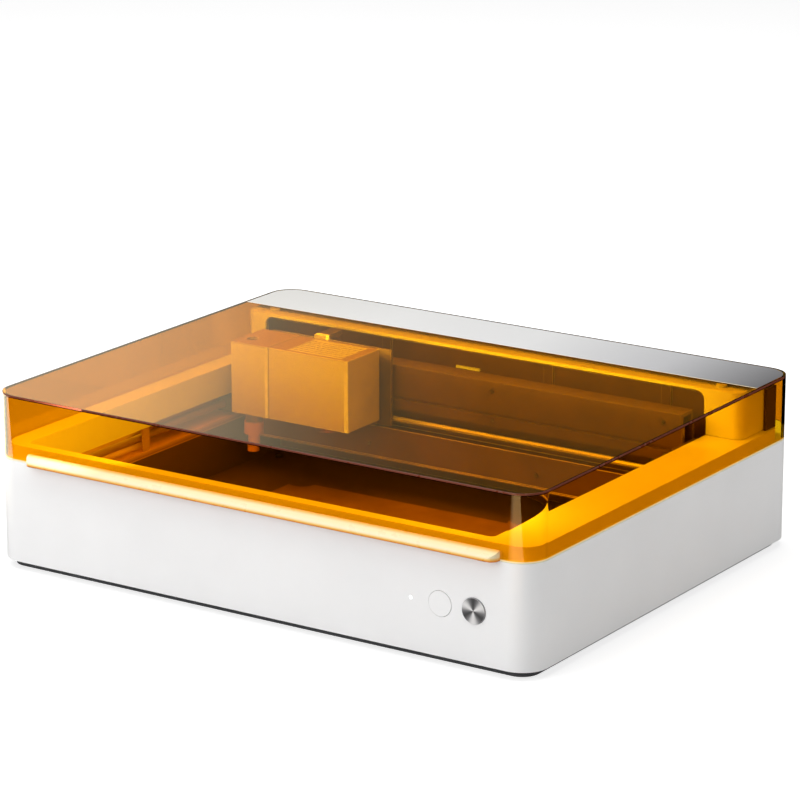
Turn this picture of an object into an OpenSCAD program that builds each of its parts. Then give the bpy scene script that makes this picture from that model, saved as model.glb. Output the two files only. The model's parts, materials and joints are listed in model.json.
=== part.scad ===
// Desktop laser cutter: a casing with a sunk work chamber, a tinted lid that lifts on
// two rear hinges, and a gantry that carries a two-part tool head.
// Millimetres. +X is to the user's right, +Y to the back, +Z up.
// The origin is on the floor, under the centre of the footprint.

/* [Body] */
// Width of the casing
body_w = 553; // [545:1:600]
// Depth of the casing
body_d = 442; // [438:1:470]
// Radius of the casing's upright corners
corner_r = 24; // [20:1:28]
// Thickness of the moulded walls
wall = 3; // [2.5:0.5:3.5]
// Height of the casing's top edge above the floor
casing_top = 99.5; // [99:0.5:100]
// Height of the deck that frames the chamber
deck_top = 112; // [111.5:0.5:112.5]

/* [Lid] */
// Height of the lid's top face above the floor
lid_top = 158.3; // [158:0.1:162]
// Width of the band across the back of the lid
strip_w = 67.5; // [60:0.5:75]
// How far the handle lip stands out of the front
handle_out = 9.5; // [6:0.5:12]

/* [Front panel] */
// Radius of the two round buttons
button_r = 11; // [9:0.5:11.5]
// Height of the buttons' centres
button_z = 53; // [50:1:56]
// Distance between the two buttons
button_pitch = 32.5; // [28:0.5:36]

/* [Exhaust] */
// Outer radius of the hose collar
collar_r = 31; // [28:0.5:32]
// Height of the collar's axis
collar_z = 53; // [53:0.5:53.5]

/* [Hidden] */

// Overlap that lets cutting shapes break cleanly through a face
cut = 1;
// Gap kept between pieces on different moving bodies
gap = 0.3;
// Radial clearance of every running fit
fit = 0.05;

// Casing
half_w = body_w / 2;
half_d = body_d / 2;
foot_h = 5;
pan_top = 7.6;
pan_inset = 8;

// Chamber opening, seen from above
open_l = -half_w + 26;
open_r = half_w - 47.5;
open_f = -half_d + 18.3;
open_b = half_d - 45;
floor_z = 10;
floor_top = floor_z + 2.5;
slot_low = 62;
slot_high = 84;

// Deck and rear housing
deck_inset = 5.5;
deck_l = -half_w + deck_inset;
deck_f = -half_d + 7.5;
deck_b = half_d - 16;
house_x = half_w - 11.5;
house_f = half_d - 80.5;
house_top = 152.5;
window_l = open_l + 7.5;
window_top = 149;
panel_y = open_b - 4;

// Hinge of the lid
hinge_y = half_d - 8;
hinge_z = deck_top;
pin_r = 2.5;
eye_r = 4.5;
leaf_t = 1.5;
knuckle_l = 215;
knuckle_w = 35;
ear_w = 9;
damper_l = 188;

// Lid
lid_low = casing_top + gap;
strip_t = 1;
strip_border = 2.6;

// Y drive
rod_r = 3.5;
rod_z = 73;
rod_left_x = open_l - 8;
rod_right_x = open_r + 8.5;
rod_front = -196;
rod_back = 189;
clamp_w = 8;
shaft_y = -half_d + 11;
idler_y = half_d - 22;
drive_z = 88.5;
shaft_r = 2;
axle_r = 1.5;
pulley_r = 4.6;
pulley_w = 6;
belt_t = 0.8;
belt_w = 5;
motor_y = shaft_y + 26;
drive_x = open_r + 23.5;

// Gantry at rest
beam_front = 112;
beam_back = 134;
beam_low = 92;
beam_top = 133.5;
beam_l = window_l + 1;
beam_r = open_r - 7;
tray_front = 104;
motor_low = 69;
belt_y = 122;
motor_x = beam_r - 24;
idler_x = beam_l + 14;
x_rod_y = 110;
x_rod_z = 83;
x_rod_r = 2.5;
bush_r = 3.4;
tray_low = 46;
tray_top = 75;
bearing_f = 92;
bearing_h = 7;

// Carriage at rest
plate_l = -208;
plate_r = -76;
plate_low = 77;
plate_top = 149;
block_l = -190;
block_r = -108;
guide_len = 71.5;

// Tool head at rest
head_l = -213.8;
head_w = 130.3;
head_front = 45;
head_back = 97;
head_low = 83.4;
head_top = 150.8;
seam_x = head_l + 42;
head_wall = 2.5;
head_r = head_l + head_w;
guide_y = 100.6;
guide_r = 1.5;
screw_x = -151;
guide_xs = [-200, screw_x, -96];
screw_r = 1.5;
ear_y = 103;
laser_x = (seam_x + head_r) / 2;
grille_l = -152;
grille_r = -94;
grille_f = 50;
grille_b = 92;
laser_y = 76;
blade_x = -202;
blade_y = 64;

// Front panel
button_x = half_w - 55;
mode_x = button_x - button_pitch;
led_x = button_x - 61;
button_out = 1.2;
button_travel = 2;
stem_l = 3.6;

// Sockets in the back
inlet_x = 215;
usb_x = 178;
socket_z = 39;

// Exhaust
collar_x = -110;
pocket_r = 41;
pocket_y = half_d - 20;
collar_end = half_d + handle_out;
fan_half = 30;
fan_y0 = panel_y + 3.5;
fan_y1 = pocket_y - wall - 0.5;

$fn = 48;

// Rounded rectangle between two corners, with true arcs
module round_rect(x0, y0, x1, y1, r) {
    translate([x0 + r, y0]) square([x1 - x0 - 2 * r, y1 - y0]);
    translate([x0, y0 + r]) square([x1 - x0, y1 - y0 - 2 * r]);
    for (x = [x0 + r, x1 - r], y = [y0 + r, y1 - r]) translate([x, y]) circle(r, $fn = 64);
}

// Upright block with rounded corners
module block(x0, y0, z0, x1, y1, z1, r) {
    translate([0, 0, z0]) linear_extrude(z1 - z0) round_rect(x0, y0, x1, y1, r);
}

// Plain box between two corners
module box(x0, y0, z0, x1, y1, z1) {
    translate([x0, y0, z0]) cube([x1 - x0, y1 - y0, z1 - z0]);
}

// Block of the casing's outline, pulled in by a margin
module body_block(inset, z0, z1) {
    block(-half_w + inset, -half_d + inset, z0, half_w - inset, half_d - inset, z1,
        corner_r - inset);
}

// Cylinder along +X from a start point
module rod_x(x0, y, z, length, r) {
    translate([x0, y, z]) rotate([0, 90, 0]) cylinder(h = length, r = r);
}

// Cylinder along +Y from a start point
module rod_y(x, y0, z, length, r) {
    translate([x, y0, z]) rotate([-90, 0, 0]) cylinder(h = length, r = r);
}

// ---------- Fixed base ----------

module feet() {
    color("#2b2b2d")
        for (x = [-1, 1], y = [-1, 1])
            translate([x * (half_w - 40), y * (half_d - 40), 0]) cylinder(h = foot_h, r = 12);
}

module base_pan() {
    color("#3f3f40") {
        body_block(pan_inset, foot_h, pan_top);
        difference() {
            body_block(pan_inset, 1, foot_h);
            body_block(pan_inset + wall, 0, foot_h + cut);
        }
    }
}

// Outer shell with an inward flange top and bottom, and its front and back openings
module casing() {
    color("#eeeef0") difference() {
        union() {
            difference() {
                body_block(0, pan_top, casing_top);
                body_block(wall, pan_top + 2.4, casing_top - 2.5);
                body_block(18, 0, pan_top + 3);
                block(open_l - 3.5, open_f - 3.5, casing_top - 3, open_r + 3.5, open_b + 8,
                    casing_top + cut, 3.5);
            }
            rod_y(collar_x, pocket_y - wall, collar_z, half_d - pocket_y + wall - 1,
                pocket_r + wall);
        }
        rod_y(collar_x, pocket_y, collar_z, 40, pocket_r);
        rod_y(collar_x, pocket_y - 10, collar_z, 40, collar_r - 4);
        for (x = [button_x, mode_x])
            rod_y(x, -half_d - cut, button_z, wall + 2 * cut, button_r + gap);
        rod_y(led_x, -half_d - cut, button_z, wall + 2 * cut, 1.5);
        box(inlet_x - 15, half_d - wall - cut, socket_z - 11, inlet_x + 15, half_d + cut,
            socket_z + 11);
        box(usb_x - 7, half_d - wall - cut, socket_z - 6.6, usb_x + 7, half_d + cut,
            socket_z + 6.6);
    }
}

// White frame round the chamber: a top skin, an outer wall and a collar that hangs inside
module deck_frame() {
    color("#f3f3f1") difference() {
        block(deck_l, deck_f, casing_top, -deck_l, deck_b, deck_top, 17);
        difference() {
            block(deck_l + wall, deck_f + wall, casing_top - cut, -deck_l - wall,
                deck_b - wall, deck_top - wall, 14);
            block(open_l - wall, open_f - wall, casing_top - cut, open_r + wall,
                open_b + wall, deck_top, wall);
        }
        box(open_l, open_f, casing_top - cut, open_r, open_b, deck_top + cut);
    }
    color("#f3f3f1") difference() {
        block(open_l - wall, open_f - wall, slot_high, open_r + wall, open_b + wall,
            casing_top, wall);
        box(open_l, open_f, slot_high - cut, open_r, open_b, casing_top + cut);
    }
}

// Side profile of the rear housing's window, cut along Y
module window_cut(x0, x1, z_top, r) {
    translate([0, house_f - cut, 0]) rotate([90, 0, 0]) mirror([0, 0, 1])
        linear_extrude(wall + 2 * cut) {
            translate([x0, deck_top - cut]) square([x1 - x0, z_top - r - deck_top + cut]);
            translate([x0 + r, deck_top - cut]) square([x1 - x0 - 2 * r, z_top - deck_top + cut]);
            for (x = [x0 + r, x1 - r]) translate([x, z_top - r]) circle(r);
        }
}

module rear_housing() {
    color("#f0f0f0") difference() {
        block(-house_x, house_f, deck_top, house_x, deck_b, house_top, 10);
        block(-house_x + wall, house_f + wall, deck_top - cut, house_x - wall, deck_b - wall,
            house_top - wall, 7);
        window_cut(window_l, open_r, window_top, 8);
    }
}

// Dark wall behind the gantry, with upright ribs and the exhaust hole
module rear_panel() {
    color("#6b5e57") difference() {
        union() {
            box(open_l + 1.5, panel_y, floor_top, open_r - 1.5, panel_y + 2, window_top);
            for (x = [-130, 46.7, 169.5])
                box(x, panel_y - 2, slot_high, x + 10, panel_y, window_top - 2);
        }
        rod_y(collar_x, panel_y - 5, collar_z, 10, collar_r - 4);
    }
}

// Sunk tub: floor, three walls, and side flanges that carry the rails
module chamber_liner() {
    flange_l = -half_w + wall;
    flange_r = open_r + 24;
    color("#6b5e57") {
        difference() {
            block(open_l - wall, open_f - wall, floor_z, open_r + wall, panel_y + 2,
                slot_low, wall);
            box(open_l, open_f, floor_top, open_r, panel_y + 30, slot_low + cut);
        }
        box(flange_l, rod_front, slot_low - 2.5, open_l - wall, rod_back + 2, slot_low);
        box(open_r + wall, rod_front, slot_low - 2.5, flange_r, rod_back + 2, slot_low);
    }
}

// Lift-out cutting bed with a finger notch in its back left corner
module bed_panel() {
    bed_l = -171.6;
    bed_r = 150;
    bed_f = -165;
    bed_b = 88;
    color("#5a4c45") difference() {
        block(bed_l, bed_f, floor_top, bed_r, bed_b, floor_top + 2.5, 4);
        translate([bed_l + 8, bed_b, floor_top - cut]) cylinder(h = 5, r = 13);
        for (x = [bed_l + 30 : 24 : bed_r - 20], y = [bed_f + 20 : 24 : bed_b - 24])
            translate([x, y, floor_top + 1.7]) cylinder(h = 2, r = 2.2);
    }
}

module rail_rods() {
    color("#c9cbd0")
        for (x = [rod_left_x, rod_right_x])
            rod_y(x, rod_front, rod_z, rod_back - rod_front, rod_r);
}

// Blocks for the ends of the rail rods, and hangers under the casing's top edge that
// carry the drive shaft and the idlers
module drive_mounts() {
    color("#3a3a3c") {
        for (x = [rod_left_x, rod_right_x], y = [rod_front, rod_back - clamp_w])
            difference() {
                box(x - 5, y, slot_low, x + 5, y + clamp_w, rod_z + 6);
                rod_y(x, y - cut, rod_z, clamp_w + 2 * cut, rod_r + 0.02);
            }
        for (x = [rod_left_x - 6, rod_right_x + 3.5], y = [shaft_y, idler_y])
            difference() {
                box(x, y - 3, drive_z - 5, x + 2.5, y + 5, casing_top - 2.5);
                rod_x(x - cut, y, drive_z, 5, (y == shaft_y ? shaft_r : axle_r) + fit);
            }
    }
}

// One closed belt loop that runs along Y between two pulley centres
module belt_loop_y(x, y0, y1, z) {
    r = pulley_r + belt_t + 0.1;
    translate([x, 0, z]) rotate([90, 0, 90]) linear_extrude(belt_w, center = true)
        difference() {
            union() {
                translate([y0, -r]) square([y1 - y0, 2 * r]);
                for (y = [y0, y1]) translate([y, 0]) circle(r);
            }
            translate([y0, -r + belt_t]) square([y1 - y0, 2 * (r - belt_t)]);
            for (y = [y0, y1]) translate([y, 0]) circle(r - belt_t);
        }
}

module y_belts() {
    color("#1c1c1c") {
        for (x = [rod_left_x, rod_right_x]) belt_loop_y(x, shaft_y, idler_y, drive_z);
        belt_loop_y(drive_x, shaft_y, motor_y, drive_z);
    }
}

// Flat round stepper motor beside the chamber
module y_motor() {
    color("#2a2a2c") difference() {
        rod_x(drive_x + 5, motor_y, drive_z, 13, 8);
        rod_x(drive_x + 4, motor_y, drive_z, 8, axle_r + fit);
    }
}

module y_motor_pulley() {
    color("#9da0a4") {
        rod_x(drive_x - pulley_w / 2, motor_y, drive_z, pulley_w, pulley_r);
        rod_x(drive_x, motor_y, drive_z, 11, axle_r);
    }
}

module mainboard() {
    color("#1f5a38") difference() {
        box(open_r + 30, -120, 14, open_r + 31.6, 90, 56);
        for (y = [-112, 82], z = [19, 51])
            rod_x(open_r + 29, y, z, 4, 1.6);
    }
    color("#2b2b2b") {
        for (y = [-95, -60, 20]) box(open_r + 26, y, 22, open_r + 30, y + 18, 40);
        box(open_r + 27, 50, 20, open_r + 30, 76, 50);
    }
    color("#8a8a8a")
        for (y = [-112, 82]) rod_x(open_r + 31.6, y, 35, half_w - wall - open_r - 31.6, 3);
}

module status_led() {
    color("#e8e8e8") {
        rod_y(led_x, -half_d + 0.2, button_z, wall + 3, 1.45);
        rod_y(led_x, -half_d + wall, button_z, 1, 2.4);
    }
}

module power_inlet() {
    x0 = inlet_x - 14.8;
    x1 = inlet_x + 14.8;
    color("#1b1b1c") difference() {
        box(x0, half_d - 16, socket_z - 10.8, x1, half_d - 0.3, socket_z + 10.8);
        box(x0 + 3.3, half_d - 12, socket_z - 8, x1 - 3.3, half_d + cut, socket_z + 8);
    }
    color("#b5b6b8") for (x = [-7, 0, 7])
        box(inlet_x + x - 0.6, half_d - 12, socket_z - 2, inlet_x + x + 0.6, half_d - 4,
            socket_z + 2);
}

module usb_port() {
    color("#9a9ca0") difference() {
        box(usb_x - 6.8, half_d - 13, socket_z - 6.4, usb_x + 6.8, half_d - 0.3,
            socket_z + 6.4);
        box(usb_x - 6, half_d - 11, socket_z - 5.6, usb_x + 6, half_d + cut, socket_z + 5.6);
    }
    color("#2a4c8c")
        box(usb_x - 3.5, half_d - 11, socket_z + 1.2, usb_x + 3.5, half_d - 3, socket_z + 4);
}

// Tube that a vent hose slides over, on a flange inside the round pocket
module exhaust_collar() {
    color("#d8d8d8") difference() {
        union() {
            rod_y(collar_x, pocket_y, collar_z, collar_end - pocket_y, collar_r);
            rod_y(collar_x, pocket_y, collar_z, 2.5, collar_r + 5);
        }
        rod_y(collar_x, pocket_y - cut, collar_z, 60, collar_r - 2.5);
    }
}

module exhaust_fan_frame() {
    color("#202022") difference() {
        box(collar_x - fan_half, fan_y0, collar_z - fan_half, collar_x + fan_half, fan_y1,
            collar_z + fan_half);
        rod_y(collar_x, fan_y0 - cut, collar_z, 40, fan_half - 3);
    }
    color("#202022") {
        difference() {
            union() {
                rod_y(collar_x, fan_y1 - 2, collar_z, 2, 13);
                for (a = [45, 135])
                    translate([collar_x, fan_y1 - 1, collar_z]) rotate([0, a, 0])
                        cube([2 * fan_half - 4, 2, 3], center = true);
            }
            rod_y(collar_x, fan_y0, collar_z, 40, 1.5 + fit);
        }
    }
}

// Fan wheel with pitched blades on a hub, running along Y
module fan_wheel(x, y, z, depth, tip_r, hub_r, shaft) {
    translate([x, y, z]) rotate([-90, 0, 0]) {
        cylinder(h = depth, r = hub_r);
        cylinder(h = depth + 3.5, r = shaft);
        for (i = [0 : 6]) rotate(i * 360 / 7)
            translate([hub_r - 1, 0, depth / 2]) rotate([35, 0, 0])
                translate([0, -depth / 2 + 0.5, -0.6]) cube([tip_r - hub_r, depth - 1, 1.2]);
    }
}

module exhaust_rotor() {
    color("#2c2c2e") fan_wheel(collar_x, fan_y1 - 15, collar_z, 11, fan_half - 4.5, 10, 1.5);
}

// Fixed half of each hinge, with two ears behind the housing, and its side plate
module hinge_brackets() {
    color("#26211e") for (s = [-1, 1]) {
        x0 = s > 0 ? knuckle_l : -knuckle_l - knuckle_w;
        difference() {
            union() {
                box(x0, deck_b, deck_top + 2, x0 + knuckle_w, deck_b + leaf_t, 144);
                for (x = [x0, x0 + knuckle_w - ear_w]) {
                    rod_x(x, hinge_y, hinge_z, ear_w, eye_r);
                    box(x, deck_b, hinge_z - 1, x + ear_w, hinge_y, hinge_z + eye_r);
                }
            }
            rod_x(x0 - cut, hinge_y, hinge_z, knuckle_w + 2 * cut, pin_r + fit);
        }
        side_x = s > 0 ? house_x : -house_x - 2.5;
        box(side_x, 181, deck_top, side_x + 2.5, deck_b - 6, 150);
    }
}

// Friction barrels that hold the lid where it is left
module hinge_dampers() {
    color("#3b3b3d") for (s = [-1, 1]) {
        x0 = s > 0 ? damper_l : -damper_l - 26;
        difference() {
            union() {
                rod_x(x0, hinge_y, hinge_z, 26, eye_r);
                box(x0, deck_b, hinge_z - 1, x0 + 26, hinge_y, hinge_z + eye_r);
            }
            rod_x(x0 - cut, hinge_y, hinge_z, 26 + 2 * cut, pin_r + fit);
        }
    }
}

module lid_bumpers() {
    color("#303032")
        for (x = [-240, 240], y = [house_f + 12, deck_b - 12])
            translate([x, y, house_top]) cylinder(h = lid_top - wall - gap - house_top, r = 5);
}

// ---------- Front panel ----------

// Round push cap with a retaining flange behind the panel
module push_cap(x) {
    rod_y(x, -half_d - button_out, button_z, wall + button_out + 2.2, button_r);
    rod_y(x, -half_d + wall + gap, button_z, 1.9, button_r + 1.3);
    rod_y(x, -half_d + wall, button_z, stem_l, 4);
}

module power_button() { color("#c8c8c8") push_cap(button_x); }

module mode_button() { color("#f2f2f2") push_cap(mode_x); }

module button_switches() {
    switch_f = -half_d + wall + stem_l + button_travel + gap;
    color("#303030") for (x = [button_x, mode_x])
        box(x - 6, switch_f, button_z - 6, x + 6, open_f - wall, button_z + 6);
}

// ---------- Y drive ----------

module y_shaft() {
    shaft_l = rod_left_x - 6;
    color("#b9bbc0")
        rod_x(shaft_l, shaft_y, drive_z, drive_x + 4 - shaft_l, shaft_r);
    color("#9da0a4") for (x = [rod_left_x, rod_right_x, drive_x])
        rod_x(x - pulley_w / 2, shaft_y, drive_z, pulley_w, pulley_r);
}

module y_idlers() {
    color("#9da0a4") for (s = [-1, 1]) {
        x = s > 0 ? rod_right_x : rod_left_x;
        rod_x(x - pulley_w / 2, idler_y, drive_z, pulley_w, pulley_r);
        rod_x(s > 0 ? x : x - 6.5, idler_y, drive_z, 6.5, axle_r);
    }
}

// ---------- Lid ----------

module lid_shell() {
    color("#f29a1e", 0.5) difference() {
        body_block(0, lid_low, lid_top);
        body_block(wall, lid_low - cut, lid_top - wall);
        box(-half_w - cut, hinge_y - 7, 0, half_w + cut, half_d + cut, hinge_z);
        strip_outline(lid_top - strip_t, lid_top + cut, 0);
    }
}

// Band across the back of the lid, following its rounded outline
module strip_outline(z0, z1, margin) {
    inset = strip_border + margin;
    intersection() {
        body_block(inset, z0, z1);
        box(-half_w, half_d - strip_w + margin, z0, half_w, half_d, z1);
    }
}

module lid_strip() { color("#d9d9da") strip_outline(lid_top - strip_t, lid_top, 0.02); }

// Lip along the front that the fingers lift
module lid_handle() {
    handle_l = -236;
    handle_r = 246;
    y0 = -half_d - handle_out;
    color("#f7e6c8") intersection() {
        translate([handle_l, 0, 0]) rotate([90, 0, 90]) linear_extrude(handle_r - handle_l)
            polygon([[-half_d, lid_low], [-half_d, 108.7], [-half_d - 2, 108.2],
                [y0 + 2.5, 105.4], [y0 + 0.8, 104.1], [y0, 102.7], [y0, 101.2],
                [y0 + 0.6, lid_low + 0.3], [y0 + 1.4, lid_low]]);
        block(handle_l, y0, 0, handle_r, -half_d + 30, 200, 9);
    }
}

// Moving half of each hinge: a leaf on the lid's back wall and the middle knuckle
module hinge_arms() {
    arm_w = knuckle_w - 2 * ear_w - 1;
    color("#2b2623") for (s = [-1, 1]) {
        x0 = (s > 0 ? knuckle_l : -knuckle_l - knuckle_w) + ear_w + 0.5;
        back = half_d - wall;
        difference() {
            union() {
                box(x0 - 8, back - leaf_t, hinge_z + 8, x0 + arm_w + 8, back, 146);
                box(x0, hinge_y, hinge_z, x0 + arm_w, back, hinge_z + 12);
                rod_x(x0, hinge_y, hinge_z, arm_w, eye_r);
            }
            rod_x(x0 - cut, hinge_y, hinge_z, arm_w + 2 * cut, pin_r);
        }
    }
}

module hinge_pins() {
    pin_l = knuckle_l + knuckle_w - damper_l - 2;
    color("#b9bbc0") for (s = [-1, 1])
        rod_x(s > 0 ? damper_l + 2 : -damper_l - 2 - pin_l, hinge_y, hinge_z, pin_l, pin_r);
}

// ---------- Gantry ----------

// Box beam with a long groove in its front face
module x_beam() {
    color("#74655c") difference() {
        box(beam_l, beam_front, beam_low, beam_r, beam_back, beam_top);
        box(beam_l - cut, beam_front - cut, 101.5, beam_r + cut, beam_front + 2.5, 105);
        box(beam_l - cut, beam_front + 5, beam_low + 3, beam_r + cut, beam_back - 3,
            beam_top - 3);
        translate([motor_x, belt_y, beam_low - cut]) cylinder(h = 5, r = 2.5);
        translate([idler_x, belt_y, beam_low - cut]) cylinder(h = 60, r = axle_r + fit);
    }
}

module x_rod() {
    color("#d5d7da") rod_x(beam_l, x_rod_y, x_rod_z, beam_r - beam_l, x_rod_r);
}

// Lower channel under the beam, with a lip along its front edge
module gantry_tray() {
    color("#6b5e57") {
        box(beam_l, tray_front, 66, beam_r, beam_back, motor_low);
        box(beam_l, tray_front, tray_low, beam_r, tray_front + 2, tray_top);
        box(beam_l, tray_front - 2.5, tray_low - 1.5, beam_r, tray_front + 2, tray_low);
        box(beam_l, beam_back - 3, tray_low, beam_r, beam_back, beam_low);
    }
}

module gantry_ends() {
    color("#5c5049") for (x = [beam_l - 4, beam_r]) difference() {
        box(x, bearing_f, rod_z - bearing_h, x + 4, beam_back, deck_top - 2);
        for (y = [115, 131], z = [97, 106]) rod_x(x - cut, y, z, 6, 1.2);
    }
}

// Bearing block between two X positions, bored for the rail rod
module bearing_block(x0, x1, x_bore) {
    difference() {
        box(x0, bearing_f, rod_z - bearing_h, x1, bearing_f + 40, rod_z + bearing_h);
        rod_y(x_bore, bearing_f - cut, rod_z, 40 + 2 * cut, rod_r + fit);
    }
}

module y_bearings() {
    color("#4a4a4c") {
        bearing_block(rod_left_x - 6, beam_l - 4, rod_left_x);
        bearing_block(beam_r + 4, rod_right_x + 6, rod_right_x);
    }
}

// Stepper motor for the carriage belt, between the beam and the tray
module x_motor() {
    color("#2a2a2c") difference() {
        box(motor_x - 9, belt_y - 9, motor_low, motor_x + 9, belt_y + 9, beam_low);
        translate([motor_x, belt_y, 76]) cylinder(h = 20, r = 1.75 + fit);
    }
}

module x_pulley() {
    color("#a5a7ab") {
        translate([motor_x, belt_y, 116]) cylinder(h = 7, r = 4);
        translate([motor_x, belt_y, 78]) cylinder(h = 45, r = 1.75);
    }
}

module x_idler() {
    color("#a5a7ab") {
        translate([idler_x, belt_y, 116]) cylinder(h = 7, r = 4);
        translate([idler_x, belt_y, beam_low + 0.5])
            cylinder(h = beam_top - beam_low - 1, r = axle_r);
    }
}

module x_belt() {
    r = 4.9;
    color("#1c1c1c") translate([0, 0, 116.5]) linear_extrude(6) difference() {
        union() {
            translate([idler_x, belt_y - r]) square([motor_x - idler_x, 2 * r]);
            for (x = [idler_x, motor_x]) translate([x, belt_y]) circle(r);
        }
        translate([idler_x, belt_y - r + belt_t])
            square([motor_x - idler_x, 2 * (r - belt_t)]);
        for (x = [idler_x, motor_x]) translate([x, belt_y]) circle(r - belt_t);
    }
}

module gantry_screws() {
    color("#77736f") {
        for (x = [-225, 28, 205]) rod_y(x, beam_front - 1, 124.5, 1, 2);
        for (x = [29, 205]) rod_y(x, beam_front - 1, 97.5, 1, 1.6);
        for (x = [-100, 80]) rod_y(x, tray_front - 1, 57, 1, 2);
    }
}

// ---------- Carriage ----------

// Plate behind the head, with a rod block below, a hook over the beam, and lugs in front
module x_carriage() {
    plate_y = 104;
    hook_top = beam_top + 4;
    color("#5c5049") difference() {
        union() {
            box(plate_l, plate_y, plate_low, plate_r, plate_y + 3, plate_top);
            box(block_l, plate_y - 1, plate_low, block_r, x_rod_y + 5, x_rod_z + 7);
            box(block_l, plate_y, beam_top + 0.6, block_r, beam_back + 4, hook_top);
            box(block_l, beam_back + 0.6, 126, block_r, beam_back + 4, hook_top);
            for (x = guide_xs, z = [plate_low, plate_top - 3])
                box(x - 4, head_back + 1, z, x + 4, plate_y + 1, z + 3);
            box(screw_x - 6, head_back + 1, plate_top, screw_x + 6, belt_y + 5,
                plate_top + 4.5);
        }
        rod_x(plate_l - cut, x_rod_y, x_rod_z, plate_r - plate_l + 2 * cut, bush_r);
        for (x = guide_xs) translate([x, guide_y, plate_low - cut])
            cylinder(h = guide_len + cut, r = x == screw_x ? screw_r + fit : guide_r);
    }
}

module x_bushings() {
    bush_l = 12;
    color("#c9a55a") for (x = [block_l, block_r - bush_l]) difference() {
        rod_x(x, x_rod_y, x_rod_z, bush_l, bush_r);
        rod_x(x - cut, x_rod_y, x_rod_z, bush_l + 2 * cut, x_rod_r + fit);
    }
}

module z_guides() {
    color("#c5c7cb") for (x = guide_xs) if (x != screw_x)
        translate([x, guide_y, plate_low]) cylinder(h = guide_len, r = guide_r);
}

module z_motor() {
    motor_z = beam_top + 4;
    color("#2a2a2c") translate([screw_x, belt_y, motor_z])
        cylinder(h = plate_top - motor_z, r = 5.5);
}

module z_screw() {
    color("#b9bbc0") translate([screw_x, guide_y, plate_low + 1])
        cylinder(h = guide_len - 1.5, r = screw_r);
}

// ---------- Tool head ----------

// Hollow cover between two X positions
module head_cover(x0, x1) {
    difference() {
        block(x0, head_front, head_low, x1, head_back, head_top, 1.5);
        box(x0 + head_wall, head_front + head_wall, head_low + head_wall, x1 - head_wall,
            head_back - head_wall, head_top - head_wall);
    }
}

module laser_housing() {
    color("#cfc8bc") difference() {
        head_cover(seam_x + 0.4, head_r);
        translate([laser_x, laser_y, head_low - cut]) cylinder(h = 5, r = 10.5);
        box(grille_l, grille_f, head_top - 5, grille_r, grille_b, head_top + cut);
    }
}

module blade_housing() {
    color("#cfc8bc") difference() {
        head_cover(head_l, seam_x - 0.4);
        translate([blade_x, blade_y, head_low - cut]) cylinder(h = 5, r = 8);
        translate([blade_x, blade_y, head_top - 5]) cylinder(h = 8, r = 5.5);
    }
}

module vent_grille() {
    color("#c9bda5") difference() {
        box(grille_l, grille_f, head_top - head_wall, grille_r, grille_b, head_top - 0.3);
        for (x = [grille_l + 3 : 6 : grille_r - 5], y = [grille_f + 3 : 13 : grille_b - 12])
            box(x, y, head_top - 5, x + 3, y + 11, head_top + cut);
    }
}

// Bored ears behind the covers that run on the carriage's guide rods and lead screw
module head_ears() {
    color("#5c5049") for (x = guide_xs) difference() {
        box(x - 4, head_back, 96, x + 4, ear_y, x == screw_x ? 106 : 130);
        translate([x, guide_y, 90])
            cylinder(h = 50, r = (x == screw_x ? screw_r : guide_r) + fit);
    }
}

module laser_barrel() {
    color("#b88a4a") difference() {
        translate([laser_x, laser_y, 72]) cylinder(h = 50, r = 10);
        translate([laser_x, laser_y, 71]) cylinder(h = 12, r = 6);
    }
}

module focus_lens() {
    color("#cfe3ef") translate([laser_x, laser_y, 75]) cylinder(h = 2, r = 6);
}

module heat_sink() {
    color("#a9abae") difference() {
        box(laser_x - 20, 58, 100, laser_x + 20, head_back - head_wall, 122);
        translate([laser_x, laser_y, 99]) cylinder(h = 24, r = 10);
        for (x = [-18, -14, 12, 16]) box(laser_x + x, 57, 104, laser_x + x + 2, 93, 123);
    }
}

module head_fan_frame() {
    color("#202022") difference() {
        box(laser_x - 17, laser_y - 17, 122, laser_x + 17, laser_y + 17, 136);
        translate([laser_x, laser_y, 124.5]) cylinder(h = 20, r = 16);
        translate([laser_x, laser_y, 123]) cylinder(h = 20, r = 1 + fit);
    }
}

module head_fan_rotor() {
    color("#2c2c2e") translate([laser_x, laser_y, 127]) {
        cylinder(h = 7, r = 6);
        translate([0, 0, -3.5]) cylinder(h = 4, r = 1);
        for (i = [0 : 6]) rotate(i * 360 / 7)
            translate([5, 0, 3.5]) rotate([35, 0, 0])
                translate([0, -3, -0.4]) cube([10, 6, 0.8]);
    }
}

module blade_holder() {
    color("#9a9ca0") difference() {
        translate([blade_x, blade_y, 72]) cylinder(h = head_top - head_wall - 72, r = 7.5);
        translate([blade_x, blade_y, 71]) cylinder(h = 57, r = 1.2);
        translate([blade_x, blade_y, 136]) cylinder(h = 20, r = 5.5);
    }
}

// Spring-loaded foot round the blade
module blade_nozzle() {
    foot_low = 46;
    foot_step = 60.5;
    color("#d9882f") difference() {
        union() {
            translate([blade_x, blade_y, foot_step]) cylinder(h = 72 - foot_step, r = 9);
            translate([blade_x, blade_y, foot_low]) cylinder(h = foot_step - foot_low, r = 5.5);
        }
        translate([blade_x, blade_y, foot_low - cut]) cylinder(h = 30, r = 3);
    }
}

module blade() {
    color("#d5d7da") {
        translate([blade_x, blade_y, 48]) cylinder(h = 79, r = 1.2);
        translate([blade_x, blade_y, 44.5]) cylinder(h = 3.5, r1 = 0.3, r2 = 1.2);
    }
}

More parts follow.
